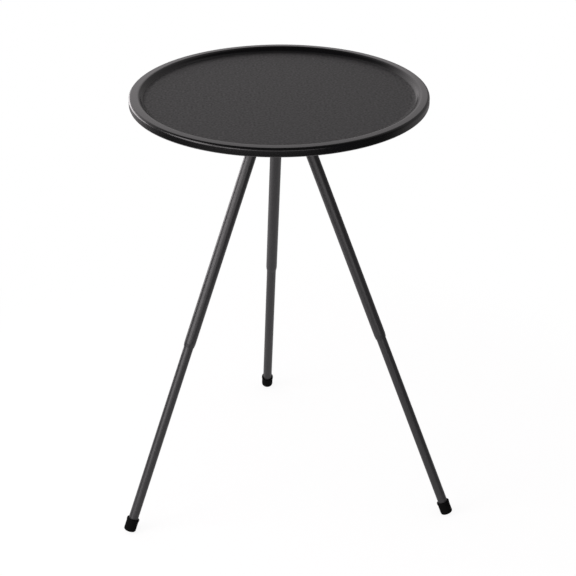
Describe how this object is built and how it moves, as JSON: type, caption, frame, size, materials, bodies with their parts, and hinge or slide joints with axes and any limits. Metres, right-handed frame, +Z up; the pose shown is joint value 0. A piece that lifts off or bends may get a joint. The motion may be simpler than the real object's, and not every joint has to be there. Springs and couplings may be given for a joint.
{
  "type": "camping side table",
  "caption": "Round tray-topped side table on splayed telescopic legs, which screw into a hub under the tray and lock by a twist.",
  "frame": {"origin": "on the floor, under the middle of the rectangle that the table takes up seen from above; the tray's axis is 34.6 mm behind it along -Y", "axes": "+Z up, square to the tray; the back leg leans towards +Y, the left leg towards -X -Y and the right leg towards +X -Y"},
  "size_m": [0.4712, 0.4722, 0.6045],
  "materials": {
    "tray_coat": "satin",
    "leg_coat": "satin",
    "hub_nylon": "matte",
    "insert_brass": "satin",
    "washer_acetal": "satin",
    "zinc_steel": "satin",
    "plug_aluminium": "satin",
    "sleeve_acetal": "satin",
    "lock_nylon": "matte",
    "foot_rubber": "matte"
  },
  "bodies": {
    "table": {"tray": "tray_coat", "hub": "hub_nylon", "weld_stud_1": "zinc_steel", "weld_stud_2": "zinc_steel", "weld_stud_3": "zinc_steel", "flange_nut_1": "zinc_steel", "flange_nut_2": "zinc_steel", "flange_nut_3": "zinc_steel", "left_socket_insert": "insert_brass", "right_socket_insert": "insert_brass", "back_socket_insert": "insert_brass"},
    "left_washer": {"left_washer": "washer_acetal"},
    "left_upper_leg": {"left_leg_stud": "zinc_steel", "left_top_plug": "plug_aluminium", "left_upper_tube": "leg_coat"},
    "left_lock": {"left_lock_sleeve": "sleeve_acetal"},
    "left_wedge": {"left_lock_wedge": "lock_nylon"},
    "left_lower_leg": {"left_lower_tube": "leg_coat", "left_tube_plug": "lock_nylon", "left_lock_rod": "zinc_steel", "left_foot": "foot_rubber"},
    "right_washer": {"right_washer": "washer_acetal"},
    "right_upper_leg": {"right_leg_stud": "zinc_steel", "right_top_plug": "plug_aluminium", "right_upper_tube": "leg_coat"},
    "right_lock": {"right_lock_sleeve": "sleeve_acetal"},
    "right_wedge": {"right_lock_wedge": "lock_nylon"},
    "right_lower_leg": {"right_lower_tube": "leg_coat", "right_tube_plug": "lock_nylon", "right_lock_rod": "zinc_steel", "right_foot": "foot_rubber"},
    "back_washer": {"back_washer": "washer_acetal"},
    "back_upper_leg": {"back_leg_stud": "zinc_steel", "back_top_plug": "plug_aluminium", "back_upper_tube": "leg_coat"},
    "back_lock": {"back_lock_sleeve": "sleeve_acetal"},
    "back_wedge": {"back_lock_wedge": "lock_nylon"},
    "back_lower_leg": {"back_lower_tube": "leg_coat", "back_tube_plug": "lock_nylon", "back_lock_rod": "zinc_steel", "back_foot": "foot_rubber"}
  },
  "joints": [
    {"name": "left_leg_travel", "type": "slide", "parent": "table", "child": "left_washer", "axis": [-0.3314, -0.1913, -0.9239], "range_m": [0, 0.0126]},
    {"name": "left_leg_turn", "type": "hinge", "parent": "left_washer", "child": "left_upper_leg", "pos_m": [-0.02353, -0.04816, 0.57252], "axis": [-0.3314, -0.1913, -0.9239], "range_deg": [0, 3600]},
    {"name": "left_leg_slide", "type": "slide", "parent": "left_upper_leg", "child": "left_lock", "axis": [0.3314, 0.1913, 0.9239], "range_m": [0, 0.215]},
    {"name": "left_lock_twist", "type": "hinge", "parent": "left_lock", "child": "left_lower_leg", "pos_m": [-0.13257, -0.11111, 0.26857], "axis": [0.3314, 0.1913, 0.9239], "range_deg": [-180, 0]},
    {"name": "left_wedge_travel", "type": "slide", "parent": "left_lock", "child": "left_wedge", "axis": [0.3314, 0.1913, 0.9239], "range_m": [0, 0.00051]},
    {"name": "right_leg_travel", "type": "slide", "parent": "table", "child": "right_washer", "axis": [0.3314, -0.1913, -0.9239], "range_m": [0, 0.0126]},
    {"name": "right_leg_turn", "type": "hinge", "parent": "right_washer", "child": "right_upper_leg", "pos_m": [0.02353, -0.04816, 0.57252], "axis": [0.3314, -0.1913, -0.9239], "range_deg": [0, 3600]},
    {"name": "right_leg_slide", "type": "slide", "parent": "right_upper_leg", "child": "right_lock", "axis": [-0.3314, 0.1913, 0.9239], "range_m": [0, 0.215]},
    {"name": "right_lock_twist", "type": "hinge", "parent": "right_lock", "child": "right_lower_leg", "pos_m": [0.13257, -0.11111, 0.26857], "axis": [-0.3314, 0.1913, 0.9239], "range_deg": [-180, 0]},
    {"name": "right_wedge_travel", "type": "slide", "parent": "right_lock", "child": "right_wedge", "axis": [-0.3314, 0.1913, 0.9239], "range_m": [0, 0.00051]},
    {"name": "back_leg_travel", "type": "slide", "parent": "table", "child": "back_washer", "axis": [0, 0.3827, -0.9239], "range_m": [0, 0.0126]},
    {"name": "back_leg_turn", "type": "hinge", "parent": "back_washer", "child": "back_upper_leg", "pos_m": [0, -0.0074, 0.57252], "axis": [0, 0.3827, -0.9239], "range_deg": [0, 3600]},
    {"name": "back_leg_slide", "type": "slide", "parent": "back_upper_leg", "child": "back_lock", "axis": [0, -0.3827, 0.9239], "range_m": [0, 0.215]},
    {"name": "back_lock_twist", "type": "hinge", "parent": "back_lock", "child": "back_lower_leg", "pos_m": [0, 0.1185, 0.26857], "axis": [0, -0.3827, 0.9239], "range_deg": [-180, 0]},
    {"name": "back_wedge_travel", "type": "slide", "parent": "back_lock", "child": "back_wedge", "axis": [0, -0.3827, 0.9239], "range_m": [0, 0.00051]}
  ],
  "couplings": [
    {"joint": "left_leg_travel", "follows": "left_leg_turn", "m_per_rad": 0.00019894},
    {"joint": "left_wedge_travel", "follows": "left_lock_twist", "m_per_rad": -0.00015915},
    {"joint": "right_leg_travel", "follows": "right_leg_turn", "m_per_rad": 0.00019894},
    {"joint": "right_wedge_travel", "follows": "right_lock_twist", "m_per_rad": -0.00015915},
    {"joint": "back_leg_travel", "follows": "back_leg_turn", "m_per_rad": 0.00019894},
    {"joint": "back_wedge_travel", "follows": "back_lock_twist", "m_per_rad": -0.00015915}
  ]
}
